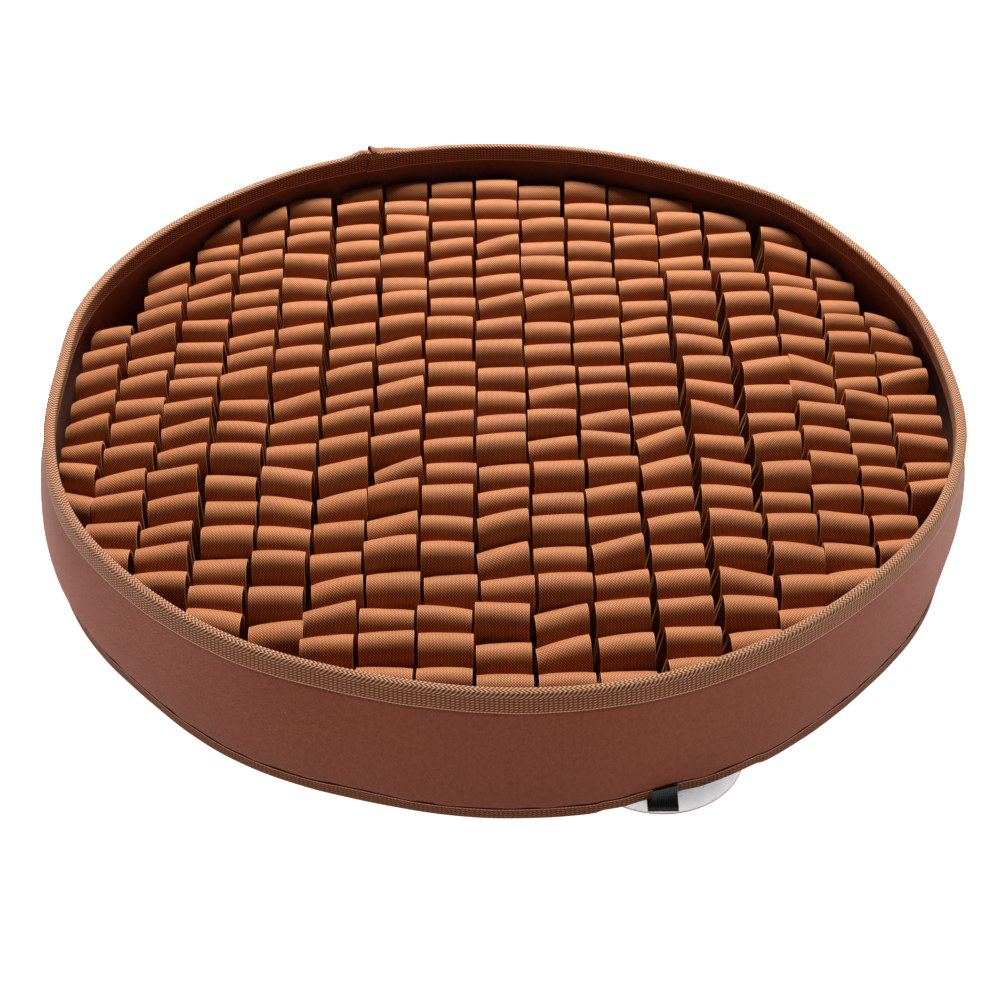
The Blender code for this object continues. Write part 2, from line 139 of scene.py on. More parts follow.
CUP_AZIMUTH = 289.5
CUP_CENTRE_RADIUS = 196.7
TAB_AZIMUTH = 287.0
SEAM_LIFTS = (
    # azimuth, height, half the arc at full height, half the whole arc
    (CUP_AZIMUTH, 1.4, 8.9, 10.1),       # over the cup's dish
    (TAB_AZIMUTH, 1.3, 2.2, 4.6),        # and over the tab that lies on it
)
TOP_LIFT = 0.75              # share of its lift that shows at the seam's top edge
TAB_WIDTH = 12.0
TAB_THICK = 1.0
TAB_PATH = (
    # distance to the front of the seam's face, height, and how square to the front the
    # row runs: 0 along the seam, 1 square
    (0.8, 8.9, 0.0),
    (1.0, 6.6, 0.0),
    (1.15, 4.7, 0.0),
    (1.9, 3.8, 0.3),
    (3.6, 3.3, 0.7),
    (5.6, 3.2, 1.0),
    (6.4, 2.55, 1.0),
    (5.6, 1.9, 1.0),
    (-7.0, 1.9, 1.0),
    (-15.0, 2.3, 1.0),
    (-20.0, 2.9, 1.0),
    (-22.0, 3.4, 1.0),
)

# --- Sizes of the finer pieces --------------------------------------------------------

RING_STEPS = 480
BASE_STEPS = 120
BASE_RINGS = 12
CUP_STEPS = 96
LEG_ROWS = 6                 # up each leg of a loop
ARCH_ROWS = 14               # over its crown
STRIP_COLUMNS = 6            # and across it
TAB_STEPS = 4                # to each stretch of the tab's path
TAB_COLUMNS = 6
FOOT_TURN = 0.5              # radius of the webbing's turn at the sewn foot
LEG_WAIST = 0.7              # the legs draw in by this much half way up
EDGE_CURL = 0.5              # the webbing's edges droop on a crown
CROWN_DRAW_IN = 0.3          # and draw in by this much on each side
CROWN_SAG_SPREAD = 0.45      # the middle of a crown stands higher or lower than its edges
PLUMPNESS = (0.88, 1.0)      # range of a loop's roundness, as shares of its widest form
CROWN_SHIFT_WAVES = (        # how far crowns stand off their strip's line: over a length
    # from front to back, this far, with this phase
    (27.0, 0.65, 0.4),
    (41.0, 0.45, 2.1),
    (15.5, 0.30, 4.4),
)
CROWN_ASIDE_SPREAD = 0.45    # and how far each may stand aside of that
CROWN_TWIST = 0.5            # share of its turn that shows in the slant of its cut ends
NEIGHBOUR_PHASE = 0.15       # the waves lag by this much from strip to strip
STITCHES_ACROSS = 6          # in each sewn row of a strip
STITCH_SIZE = (3.2, 0.8, 0.6)
STITCH_STAND = 0.1           # how far the stitches' middles stand out of the base
STITCH_MARGIN = 3.0          # they end this far from the base's edge
TAB_WIDTH_SHARES = (0.88, 1.05)      # of the tab on the seam and of the tab out on the cup
TAB_ASIDE = (0.6, -0.3)      # how far it stands to the right there
MERGE_DISTANCE = 0.01
SHARP_EDGE = 50.0            # angle, in degrees, past which an edge is shaded sharp
UV_PER_MM = 0.1              # texture coordinates are in centimetres of cloth
WEAVE_MAP = "weave"
WALL_MEAN_RADIUS = 218.0     # lengths along the cloth are taken at these radii
SEAM_MEAN_RADIUS = 220.0
RIM_TAPE_HALF = 9.4          # half the tape's width, from its fold to its edge
SEAM_TAPE_HALF = 7.0


# --- Helpers --------------------------------------------------------------------------

def smoothstep(x):
    x = min(max(x, 0.0), 1.0)
    return x * x * (3.0 - 2.0 * x)


def mix(a, b, share):
    return a + (b - a) * share


def to_part(x, y, z):
    """A point of the tray's own frame, in metres in the part's frame."""
    return Vector(((x + TRAY_X) * MM, (y + TRAY_Y) * MM, z * MM))


def on_ring(azimuth, radius, z):
    a = math.radians(azimuth)
    return (radius * math.cos(a), radius * math.sin(a), z)


def around(steps):
    """Azimuths once round the ring, with the first place again at the end."""
    return [TURN * step / steps for step in range(steps + 1)]


def outline_radius(azimuth, column):
    """Radius of the tray's plan, smooth through the rows of OUTLINE."""
    place = (azimuth % TURN) / OUTLINE_STEP
    row = int(place)
    t = place - row
    count = len(OUTLINE)
    before, here, after, beyond = (OUTLINE[(row + k) % count][column] for k in (-1, 0, 1, 2))
    slope_in = 0.5 * (after - before)
    slope_out = 0.5 * (beyond - here)
    rise = after - here
    return (here + slope_in * t + (3 * rise - 2 * slope_in - slope_out) * t ** 2
            + (slope_in + slope_out - 2 * rise) * t ** 3)


def rim_radius(azimuth):
    return outline_radius(azimuth, 0)


def foot_radius(azimuth):
    return outline_radius(azimuth, 1)


def wall_swell(azimuth):
    return outline_radius(azimuth, 2)


def seam_lift(azimuth):
    """How far the bottom seam is raised where it passes over the suction cup and its tab."""
    lift = 0.0
    for middle, height, flat, end in SEAM_LIFTS:
        away = abs((azimuth - middle + 0.5 * TURN) % TURN - 0.5 * TURN)
        lift += height * (1.0 - smoothstep((away - flat) / (end - flat)))
    return lift


def waver(azimuth, waves):
    """A sum of waves around the ring: rows of how many turns, how high, and their phase."""
    return sum(height * math.sin(math.radians(turns * azimuth) + phase)
               for turns, height, phase in waves)


def seam_top(azimuth):
    """Height of the uneven line at which the wall meets the seam's tape."""
    return SEAM_HEIGHT + TOP_LIFT * seam_lift(azimuth) + waver(azimuth, SEAM_WAVES)


def lengths_along(points):
    """Running length at each point of a path."""
    total = 0.0
    lengths = [0.0]
    for here, there in zip(points, points[1:]):
        total += math.dist(here, there)
        lengths.append(total)
    return lengths


def add_object(name, data):
    made = bpy.data.objects.new(name, data)
    bpy.context.scene.collection.objects.link(made)
    return made


def add_mesh(name, bm):
    """An object with the mesh that has been built up, which is then freed."""
    mesh = bpy.data.meshes.new(name)
    bm.to_mesh(mesh)
    bm.free()
    return add_object(name, mesh)


def add_quads(bm, rows, weave, layer):
    """Quads between rows of points, with their place in the cloth as texture coordinates."""
    grid = [[bm.verts.new(to_part(*point)) for point in row] for row in rows]
    for j in range(len(rows) - 1):
        for k in range(len(rows[0]) - 1):
            corners = ((j, k), (j + 1, k), (j + 1, k + 1), (j, k + 1))
            face = bm.faces.new([grid[a][b] for a, b in corners])
            face.smooth = True
            for loop, (a, b) in zip(face.loops, corners):
                loop[layer].uv = [place * UV_PER_MM for place in weave[a][b]]


def cloth(name, rows, weave, thickness):
    """A sheet through rows of points; weave gives each point's place in the flat cloth."""
    bm = bmesh.new()
    layer = bm.loops.layers.uv.new(WEAVE_MAP)
    add_quads(bm, rows, weave, layer)
    bmesh.ops.remove_doubles(bm, verts=bm.verts, dist=MERGE_DISTANCE * MM)
    bmesh.ops.recalc_face_normals(bm, faces=bm.faces)
    piece = add_mesh(name, bm)
    shell = piece.modifiers.new("thickness", "SOLIDIFY")
    shell.thickness = thickness * MM
    shell.offset = 0.0
    bake_modifiers(piece)
    piece.data.set_sharp_from_angle(angle=math.radians(SHARP_EDGE))
    return piece


def bake_modifiers(piece):
    """Replace a piece's mesh with the one that its modifiers make."""
    graph = bpy.context.evaluated_depsgraph_get()
    made = bpy.data.meshes.new_from_object(piece.evaluated_get(graph))
    piece.modifiers.clear()
    piece.data = made


def dress(piece, finish, slot, *nodes):
    """Give a piece its material, and let it stand for the solids that it follows."""
    piece.data.materials.append(finish)
    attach(piece, "root")
    if nodes:
        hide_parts(*nodes)


# --- Materials ------------------------------------------------------------------------

# pitch across the cloth, pitch along it, and how deep the gaps between grains are
WEBBING_WEAVE = (0.6, 1.25, 0.9)
OXFORD_WEAVE = (0.46, 0.9, 0.7)
TAB_WEAVE = (1.0, 1.3, 0.5)
EDGE_YARN = 0.3              # width of the yarn along each edge of the webbing
EDGE_FADE = 0.2
SLUB_GRAIN = (13.0, 9.0, 1.0)        # to a centimetre of oxford cloth, across and along
STREAK_GRAIN = (5.0, 3.5, 1.0)

# the binding tape's herringbone and its beads
STRAND_SLOPE = 1.5
STRAND_PITCH = 1.9
UNBROKEN_HALF = 1.6          # the strands run unbroken so far from the fold
UNBROKEN_FADE = 0.6
BEAD_PITCH = 1.26
BEAD_OFFSET = 0.35
SELVEDGE = 0.8               # width of the beaded edge
SELVEDGE_FADE = 0.1
SELVEDGE_PITCH = 1.4

# the clear dish, by the distance from its middle: a grey middle of painted shade and a lip of
# painted reflection
DISH_FADE = (26.0, 40.0)     # from its middle, grey with painted shade of the wall and seam, to its white outer part
DISH_CLOUDS = 9.0            # how far the haze moves that fade
# the lip's ring, painted with a reflection of the mat's brown
DISH_LIP = (36.3, 36.7)

# between the grains: the weave's ground, darkened to near black as painted shade in the gaps
WEBBING_GROUND_AND_GAP_SHADE = (0.04, 0.002, 0.001)
WEBBING_YARN = (0.86, 0.285, 0.078)
WEBBING_FADED = (0.62, 0.195, 0.058)
OXFORD_GROUND = (0.10, 0.021, 0.009)
OXFORD_YARN = (0.32, 0.085, 0.045)
OXFORD_SLUB = (0.135, 0.032, 0.016)
OXFORD_WORN = (0.26, 0.078, 0.045)
TAPE_GROUND = (0.11, 0.021, 0.005)
TAPE_SELVEDGE = (0.62, 0.33, 0.22)
RIM_STRANDS = (0.41, 0.225, 0.13)
# the seam's tape is the rim's tape with its strands painted darker: painted shade, as less light
# reaches the seam low down
SEAM_STRANDS_PAINTED_SHADE = (0.27, 0.12, 0.06)
THREAD_DARK = (0.10, 0.035, 0.018)
THREAD_LIGHT = (0.24, 0.10, 0.06)
# painted shade on the dish's middle, under the wall and seam
VINYL_PAINTED_SHADE = (0.40, 0.40, 0.45)
VINYL_WHITE = (0.93, 0.92, 0.93)
# painted reflection of the mat on the dish's lip
VINYL_LIP_REFLECTION = (0.42, 0.22, 0.19)
TAB_GROUND = (0.006, 0.006, 0.007)
TAB_YARN = (0.035, 0.037, 0.042)
FLOOR_DARK = (0.86, 0.86, 0.86)
FLOOR_LIGHT = (0.9, 0.9, 0.9)
WHITE = (1.0, 1.0, 1.0)
SHEEN_ROUGHNESS = 0.35


class Shader:
    """A material with one principled shader, and short calls that add nodes to it."""

    def __init__(self, name):
        self.material = bpy.data.materials.new(name)
        self.material.use_nodes = True
        self.nodes = self.material.node_tree.nodes
        self.links = self.material.node_tree.links
        self.principled = self.nodes["Principled BSDF"]

    def set(self, **values):
        for name, value in values.items():
            self.principled.inputs[name.replace("_", " ")].default_value = value

    def gloss(self, roughness, level, sheen, colour):
        """The soft gloss of fibres: a weak highlight and sheen, both in the fibres' colour."""
        self.set(Roughness=roughness, Specular_IOR_Level=level, Specular_Tint=(*colour, 1.0),
                 Sheen_Weight=sheen, Sheen_Roughness=SHEEN_ROUGHNESS, Sheen_Tint=(*colour, 1.0))

    def paint(self, colour):
        self.links.new(colour, self.principled.inputs["Base Color"])

    def feed(self, target, source):
        if hasattr(source, "is_output"):
            self.links.new(source, target)
        else:
            target.default_value = source

    def math(self, operation, a, b=0.0, c=0.0):
        node = self.nodes.new("ShaderNodeMath")
        node.operation = operation
        for target, source in zip(node.inputs, (a, b, c)):
            self.feed(target, source)
        return node.outputs[0]

    def wave(self, place):
        """From 0 where place is whole to 1 half way between."""
        turned = self.math("COSINE", self.math("MULTIPLY", place, 2.0 * math.pi))
        return self.math("MULTIPLY_ADD", turned, -0.5, 0.5)

    def ranged(self, value, low, high, to_low=0.0, to_high=1.0):
        node = self.nodes.new("ShaderNodeMapRange")
        for target, source in zip(node.inputs, (value, low, high, to_low, to_high)):
            self.feed(target, source)
        return node.outputs[0]

    def blended(self, share, a, b):
        """One number for another, by a share."""
        node = self.nodes.new("ShaderNodeMix")
        for k, source in ((0, share), (2, a), (3, b)):
            self.feed(node.inputs[k], source)
        return node.outputs[0]

    def mixed(self, share, a, b):
        """One colour for another, by a share."""
        node = self.nodes.new("ShaderNodeMix")
        node.data_type = "RGBA"
        self.feed(node.inputs["Factor"], share)
        for name, source in (("A", a), ("B", b)):
            target = [s for s in node.inputs if s.name == name and s.type == "RGBA"][0]
            self.feed(target, source if hasattr(source, "is_output") else (*source, 1.0))
        return [s for s in node.outputs if s.type == "RGBA"][0]

    def noise(self, scale, detail=2.0, vector=None):
        node = self.nodes.new("ShaderNodeTexNoise")
        node.inputs["Scale"].default_value = scale
        node.inputs["Detail"].default_value = detail
        self.links.new(vector or self.object_place(), node.inputs["Vector"])
        return node.outputs["Fac"]

    def object_place(self):
        return self.nodes.new("ShaderNodeTexCoord").outputs["Object"]

    def stretched(self, vector, scales):
        node = self.nodes.new("ShaderNodeVectorMath")
        node.operation = "MULTIPLY"
        self.links.new(vector, node.inputs[0])
        node.inputs[1].default_value = scales
        return node.outputs[0]

    def distance(self, vector, point):
        node = self.nodes.new("ShaderNodeVectorMath")
        node.operation = "DISTANCE"
        self.links.new(vector, node.inputs[0])
        node.inputs[1].default_value = point
        return node.outputs["Value"]

    def weave_place(self):
        """The place in the flat cloth: across and along, in millimetres, and as a vector."""
        uv = self.nodes.new("ShaderNodeUVMap")
        uv.uv_map = WEAVE_MAP
        split = self.nodes.new("ShaderNodeSeparateXYZ")
        self.links.new(uv.outputs[0], split.inputs[0])
        across, along = (self.math("DIVIDE", split.outputs[k], UV_PER_MM) for k in (0, 1))
        return across, along, uv.outputs[0]

    def bump(self, height, distance, strength):
        node = self.nodes.new("ShaderNodeBump")
        node.inputs["Strength"].default_value = strength
        node.inputs["Distance"].default_value = distance * MM
        self.links.new(height, node.inputs["Height"])
        self.links.new(node.outputs[0], self.principled.inputs["Normal"])


def checker_weave(shader, across, along, pitch_across, pitch_along, depth):
    """Height of a plain weave, from 0 to 1: every other column of grains is half a grain on."""
    column = shader.math("DIVIDE", across, pitch_across)
    odd = shader.math("MODULO", shader.math("FLOOR", column), 2.0)
    row = shader.math("MULTIPLY_ADD", odd, 0.5, shader.math("DIVIDE", along, pitch_along))
    grain = shader.math("MULTIPLY_ADD", shader.wave(row), depth, 1.0 - depth)
    return shader.math("MULTIPLY", shader.wave(column), grain)


def webbing_material():
    shader = Shader("webbing_weave")
    across, along, _ = shader.weave_place()
    woven = checker_weave(shader, across, along, *WEBBING_WEAVE)
    from_middle = shader.math("ABSOLUTE", shader.math("SUBTRACT", across, 0.5 * STRIP_WIDTH))
    edge = 0.5 * STRIP_WIDTH - EDGE_YARN
    edging = shader.ranged(from_middle, edge, edge + EDGE_FADE, to_high=0.5)
    height = shader.math("MAXIMUM", woven, edging)
    fading = shader.ranged(shader.noise(scale=45.0), 0.35, 0.65, to_high=0.12)
    # the weave's low places take the near-black painted shade of the gaps
    yarn = shader.mixed(height, WEBBING_GROUND_AND_GAP_SHADE, WEBBING_YARN)
    shader.paint(shader.mixed(fading, yarn, WEBBING_FADED))
    shader.gloss(roughness=0.55, level=0.32, sheen=0.06, colour=(1.0, 0.74, 0.46))
    shader.bump(height, distance=0.2, strength=0.8)
    return shader.material


def oxford_material():
    shader = Shader("oxford_weave")
    across, along, place = shader.weave_place()
    height = checker_weave(shader, across, along, *OXFORD_WEAVE)
    slubs = shader.noise(1.0, 2.0, shader.stretched(place, SLUB_GRAIN))
    streaks = shader.noise(1.0, 3.0, shader.stretched(place, STREAK_GRAIN))
    yarn = shader.mixed(height, OXFORD_GROUND, OXFORD_YARN)
    uneven = shader.mixed(shader.ranged(slubs, 0.42, 0.6, to_high=0.75), yarn, OXFORD_SLUB)
    worn = shader.mixed(shader.ranged(streaks, 0.3, 0.7, to_high=0.25), uneven, OXFORD_WORN)
    shader.paint(worn)
    shader.gloss(roughness=0.7, level=0.22, sheen=0.12, colour=(1.0, 0.58, 0.42))
    shader.bump(height, distance=0.12, strength=0.7)
    return shader.material


def tape_material(name, half_width, strands):
    """Herringbone tape: strands meet in a V along the fold and break up into beads beside it."""
    shader = Shader(name)
    across, along, _ = shader.weave_place()
    from_fold = shader.math("ABSOLUTE", across)
    slanted = shader.math("MULTIPLY_ADD", from_fold, STRAND_SLOPE, along)
    strand = shader.wave(shader.math("DIVIDE", slanted, STRAND_PITCH))
    beside = shader.math("ADD", from_fold, BEAD_OFFSET)
    bead = shader.wave(shader.math("DIVIDE", beside, BEAD_PITCH))
    broken = shader.ranged(from_fold, UNBROKEN_HALF, UNBROKEN_HALF + UNBROKEN_FADE, to_high=0.9)
    rows = shader.math("MULTIPLY_ADD", broken, shader.math("SUBTRACT", bead, 1.0), 1.0)
    woven = shader.math("MULTIPLY", strand, rows)
    edge = half_width - SELVEDGE
    selvedge = shader.ranged(from_fold, edge - SELVEDGE_FADE, edge + SELVEDGE_FADE)
    chain = shader.wave(shader.math("DIVIDE", along, SELVEDGE_PITCH))
    crown = shader.wave(shader.math("DIVIDE", shader.math("SUBTRACT", from_fold, edge), SELVEDGE))
    beads = shader.math("MULTIPLY", crown, shader.math("MULTIPLY_ADD", chain, 0.6, 0.4))
    height = shader.blended(selvedge, woven, beads)
    yarn = shader.mixed(shader.ranged(height, 0.22, 0.8), TAPE_GROUND, strands)
    shader.paint(shader.mixed(shader.math("MULTIPLY", selvedge, beads), yarn, TAPE_SELVEDGE))
    shader.gloss(roughness=0.75, level=0.2, sheen=0.05, colour=(1.0, 0.7, 0.45))
    shader.bump(height, distance=0.3, strength=0.9)
    return shader.material


def thread_material():
    shader = Shader("sewing_thread")
    twist = shader.noise(scale=900.0, detail=1.0)
    shader.paint(shader.mixed(twist, THREAD_DARK, THREAD_LIGHT))
    shader.set(Roughness=0.55)
    return shader.material


def vinyl_material():
    shader = Shader("clear_vinyl")
    haze = shader.noise(scale=220.0, detail=3.0)
    shader.links.new(shader.ranged(haze, 0.3, 0.7, 0.08, 0.18),
                     shader.principled.inputs["Roughness"])
    middle = to_part(*on_ring(CUP_AZIMUTH, CUP_CENTRE_RADIUS, 0.0))
    reach = shader.math("DIVIDE", shader.distance(shader.object_place(), middle), MM)
    cloudy = shader.math("MULTIPLY_ADD", haze, DISH_CLOUDS, reach)
    # the dish's middle is greyed in blotches with painted shade of the wall and seam beside it
    dish = shader.mixed(shader.ranged(cloudy, *DISH_FADE), VINYL_PAINTED_SHADE, VINYL_WHITE)
    # a painted reflection of the mat in the lip's ring
    shader.paint(shader.mixed(shader.ranged(reach, *DISH_LIP), dish, VINYL_LIP_REFLECTION))
    shader.set(Transmission_Weight=0.7, IOR=1.45)
    return shader.material


def tab_material():
    shader = Shader("black_webbing_weave")
    across, along, _ = shader.weave_place()
    height = checker_weave(shader, across, along, *TAB_WEAVE)
    shader.paint(shader.mixed(height, TAB_GROUND, TAB_YARN))
    shader.gloss(roughness=0.6, level=0.5, sheen=0.3, colour=WHITE)
    shader.bump(height, distance=0.2, strength=0.8)
    return shader.material


def floor_material():
    shader = Shader("pale_floor")
    shader.paint(shader.mixed(shader.noise(scale=3.0), FLOOR_DARK, FLOOR_LIGHT))
    shader.set(Roughness=0.9, Emission_Color=(*WHITE, 1.0), Emission_Strength=0.97)
    return shader.material


# --- Wall, base and bindings ----------------------------------------------------------

# the cloth's unevenness round the ring: how many waves, how high, and their phase
WALL_WAVES = ((3, 0.30, 0.4), (7, 0.28, 1.9), (11, 0.22, 4.0), (19, 0.14, 2.2), (31, 0.08, 0.7))
PUCKER_WAVES = ((67, 0.14, 0.0), (101, 0.10, 1.3), (43, 0.10, 2.9))
TAPE_WAVES = ((9, 0.16, 0.5), (23, 0.14, 2.0), (57, 0.08, 4.2))
SEAM_WAVES = ((13, 0.22, 0.3), (21, 0.25, 2.6), (34, 0.16, 1.1))
SEAM_WAVER = 0.4             # share of TAPE_WAVES in the seam tape's outer face

# the wall's puckers and creases by the two tapes
SEAM_PUCKER_FADE = 5.0       # height over which the puckers die away from the seam
RIM_PUCKER_FADE = 4.0        # and from the rim's tape
RIM_PUCKER_SHARE = 0.8
RIM_CREASE = (0.45, 1.6, 0.7)        # depth, distance below the tape's edge, half its height
SEAM_CREASE = (0.4, 1.3)             # depth and height

# rows of points up the wall
SEAM_ROWS = 4                # close together above the seam
SEAM_ROW_STEP = 0.6
BARE_ROWS = 12               # far apart between
EDGE_ROWS = 8                # close together below the rim's tape
EDGE_ROW_STEP = 0.5
COVERED_ROWS = 3             # behind the tape

# the rim's tape
FOLD_RISE = 0.8              # it stands up from the edge of the wall
FOLD_EASE = 0.3              # and stands off its faces
FOLD_HEIGHT = 2.0            # its fold begins so far below its top
FOLD_POWERS = (0.5, 0.65)    # of the fold's form, across and up: 1 is round, less is squarer
FOLD_STEPS = 10
TAPE_LEG_STEPS = 4
TAPE_STEP = 1.5              # degrees between its rows
LAP_ROW_STEP = 0.4           # and between its rows where it laps, from LAP_ROWS_START on
LAP_ROWS_START = 354.6
LAP_ROWS = 21
LAP_CLIMB = 5.0              # degrees over which the last end climbs on to the first
LAP_STRAIGHT = 0.5           # degrees before its slanted cut begins

# the seam's tape
SEAM_CORNER = 0.5            # radius of its turns under the seam
SEAM_CORNER_STEPS = 4


def rim_middle(azimuth):
    """Radius of the middle of the wall's cloth at its top edge."""
    return rim_radius(azimuth) - TAPE_THICK - GAP - 0.5 * CLOTH_THICK


def wall_middle(azimuth, z):
    """Radius of the middle of the wall's cloth at a height, before its unevenness."""
    bottom = foot_radius(azimuth) - 0.5 * CLOTH_THICK
    share = (z - SEAM_HEIGHT) / (RIM_HEIGHT - SEAM_HEIGHT)
    bare = min((z - SEAM_HEIGHT) / BARE_HEIGHT, 1.0)
    swell = 4.0 * wall_swell(azimuth) * bare * (1.0 - bare)
    return bottom + (rim_middle(azimuth) - bottom) * share + swell


def wall_point(azimuth, z):
    """Radius of the wall's cloth with its dents, its puckers and the creases by the tapes."""
    low = seam_top(azimuth)
    high = RIM_HEIGHT - RIM_TAPE_LEG
    share = min(max((z - low) / (high - low), 0.0), 1.0)
    dents = waver(azimuth, WALL_WAVES) * math.sin(math.pi * share)
    by_seam = math.exp(-(z - low) / SEAM_PUCKER_FADE)
    by_rim = RIM_PUCKER_SHARE * math.exp(-max(high - z, 0.0) / RIM_PUCKER_FADE)
    puckers = waver(azimuth, PUCKER_WAVES) * (by_seam + by_rim)
    depth, below, half = RIM_CREASE
    seam_depth, seam_height = SEAM_CREASE
    creases = (depth * math.exp(-((z - high + below) / half) ** 2)
               + seam_depth * math.exp(-((z - low) / seam_height) ** 2))
    return wall_middle(azimuth, z) + dents + (puckers - creases) * (z < high)


def wall_heights(azimuth):
    low = seam_top(azimuth) + GAP
    high = RIM_HEIGHT - RIM_TAPE_LEG
    top = RIM_HEIGHT - TAPE_THICK - GAP
    bare_low = low + SEAM_ROWS * SEAM_ROW_STEP
    bare_high = high - EDGE_ROWS * EDGE_ROW_STEP
    return ([low + SEAM_ROW_STEP * k for k in range(SEAM_ROWS + 1)]
            + [mix(bare_low, bare_high, k / BARE_ROWS) for k in range(1, BARE_ROWS + 1)]
            + [bare_high + EDGE_ROW_STEP * k for k in range(1, EDGE_ROWS + 1)]
            + [mix(high, top, k / COVERED_ROWS) for k in range(1, COVERED_ROWS + 1)])


def make_wall(finish):
    rows = []
    weave = []
    for azimuth in around(RING_STEPS):
        along = math.radians(azimuth) * WALL_MEAN_RADIUS
        heights = wall_heights(azimuth)
        rows.append([on_ring(azimuth, wall_point(azimuth, z), z) for z in heights])
        weave.append([(along, z) for z in heights])
    wall = cloth("wall_cloth", rows, weave, CLOTH_THICK)
    dress(wall, finish, "oxford_cloth", "wall")


def base_radius(azimuth):
    return wall_middle(azimuth, SEAM_HEIGHT) - 0.5 * CLOTH_THICK - BASE_INSET


def make_base(finish):
    z = SEAM_HEIGHT + GAP + 0.5 * CLOTH_THICK
    shares = [k / BASE_RINGS for k in range(BASE_RINGS + 1)]
    rows = [[on_ring(azimuth, base_radius(azimuth) * share, z) for share in shares]
            for azimuth in around(BASE_STEPS)]
    weave = [[(x, y) for x, y, _ in row] for row in rows]
    base = cloth("base_cloth", rows, weave, CLOTH_THICK)
    dress(base, finish, "oxford_cloth", "base_panel")


def tape_section(azimuth, spread, peak):
    """The folded tape in section, as (radius, z), from its outer edge over to its inner one."""
    low = RIM_HEIGHT - RIM_TAPE_LEG + waver(azimuth, TAPE_WAVES)
    top = RIM_HEIGHT + FOLD_RISE - 0.5 * TAPE_THICK + spread + peak
    shoulder = top - FOLD_HEIGHT
    away = 0.5 * CLOTH_THICK + GAP + 0.5 * TAPE_THICK + FOLD_EASE + spread
    heights = [mix(low, shoulder, k / TAPE_LEG_STEPS) for k in range(TAPE_LEG_STEPS)]
    outer = [(wall_middle(azimuth, z) + away, z) for z in heights]
    inner = [(wall_middle(azimuth, z) - away, z) for z in heights]
    middle = rim_middle(azimuth)
    power_across, power_up = FOLD_POWERS
    over = []
    for k in range(FOLD_STEPS + 1):
        turn = math.pi * k / FOLD_STEPS
        c, s = math.cos(turn), math.sin(turn)
        over.append((middle + away * math.copysign(abs(c) ** power_across, c),
                     shoulder + FOLD_HEIGHT * abs(s) ** power_up))
    return outer + over + inner[::-1]


def rim_tape_turns():
    """How far round each row of the rim's tape lies, in degrees from its first end."""
    turns = [TAPE_STEP * k for k in range(int(LAP_ROWS_START / TAPE_STEP) + 1)]
    turns += [LAP_ROWS_START + LAP_ROW_STEP * k for k in range(LAP_ROWS)]
    return turns + [TURN + LAP_LENGTH]


def tape_weave(section, half_width, turned, radius):
    """Places in the flat tape of a row of points, from edge to edge by way of its fold."""
    lengths = lengths_along(section)
    along = math.radians(turned) * radius
    return [(half_width - min(length, lengths[-1] - length), along) for length in lengths]


def make_rim_tape(finish):
    """One turn of tape whose last end lies over its first."""
    rows = []
    weave = []
    for turned in rim_tape_turns():
        azimuth = LAP_START + turned
        lapped = turned - TURN
        over = smoothstep((lapped + LAP_CLIMB) / LAP_CLIMB)
        peak = LAP_PEAK * max(lapped, 0.0) / LAP_LENGTH
        # the first end rises to a hump at the edge of the last one, and falls again
        hump = (LAP_HUMP * smoothstep(turned / LAP_LENGTH)
                * (1.0 - smoothstep((turned - LAP_LENGTH) / LAP_LENGTH)))
        section = tape_section(azimuth, LAP_LIFT * over, peak + hump)
        cut_share = smoothstep((lapped - LAP_STRAIGHT) / (LAP_LENGTH - LAP_STRAIGHT))
        cut = LAP_SLANT * cut_share / RIM_TAPE_LEG
        foot = section[0][1]
        rows.append([on_ring(azimuth - cut * (z - foot), r, z) for r, z in section])
        weave.append(tape_weave(rows[-1], RIM_TAPE_HALF, turned, WALL_MEAN_RADIUS))
    tape = cloth("rim_tape", rows, weave, TAPE_THICK)
    dress(tape, finish, "binding_tape", "rim_binding")


def seam_section(azimuth):
    """The tape folded up around the seam, as (radius, z), from outer edge to inner edge."""
    half = 0.5 * TAPE_THICK
    outer = foot_radius(azimuth) + SEAM_WAVER * waver(azimuth, TAPE_WAVES) - half
    inner = outer - SEAM_WIDTH + TAPE_THICK
    outer_top = seam_top(azimuth) - 0.5 * GAP
    inner_top = SEAM_HEIGHT - 0.5 * GAP
    bend = seam_lift(azimuth) + half + SEAM_CORNER
    shares = [k / TAPE_LEG_STEPS for k in range(TAPE_LEG_STEPS + 1)]
    points = [(outer, mix(outer_top, bend, share)) for share in shares[:-1]]
    quarter = [math.radians(90.0 * k / SEAM_CORNER_STEPS) for k in range(SEAM_CORNER_STEPS + 1)]
    points += [(outer - SEAM_CORNER + SEAM_CORNER * math.cos(turn),
                bend - SEAM_CORNER * math.sin(turn)) for turn in quarter]
    points += [(inner + SEAM_CORNER - SEAM_CORNER * math.cos(turn),
                bend - SEAM_CORNER * math.sin(turn)) for turn in reversed(quarter)]
    return points + [(inner, mix(bend, inner_top, share)) for share in shares[1:]]


def make_bottom_tape(finish):
    rows = []
    weave = []
    for azimuth in around(RING_STEPS):
        section = seam_section(azimuth)
        rows.append([on_ring(azimuth, r, z) for r, z in section])
        weave.append(tape_weave(section, SEAM_TAPE_HALF, azimuth, SEAM_MEAN_RADIUS))
    tape = cloth("bottom_seam_tape", rows, weave, TAPE_THICK)
    dress(tape, finish, "binding_tape", "bottom_binding")


# --- Webbing strips -------------------------------------------------------------------

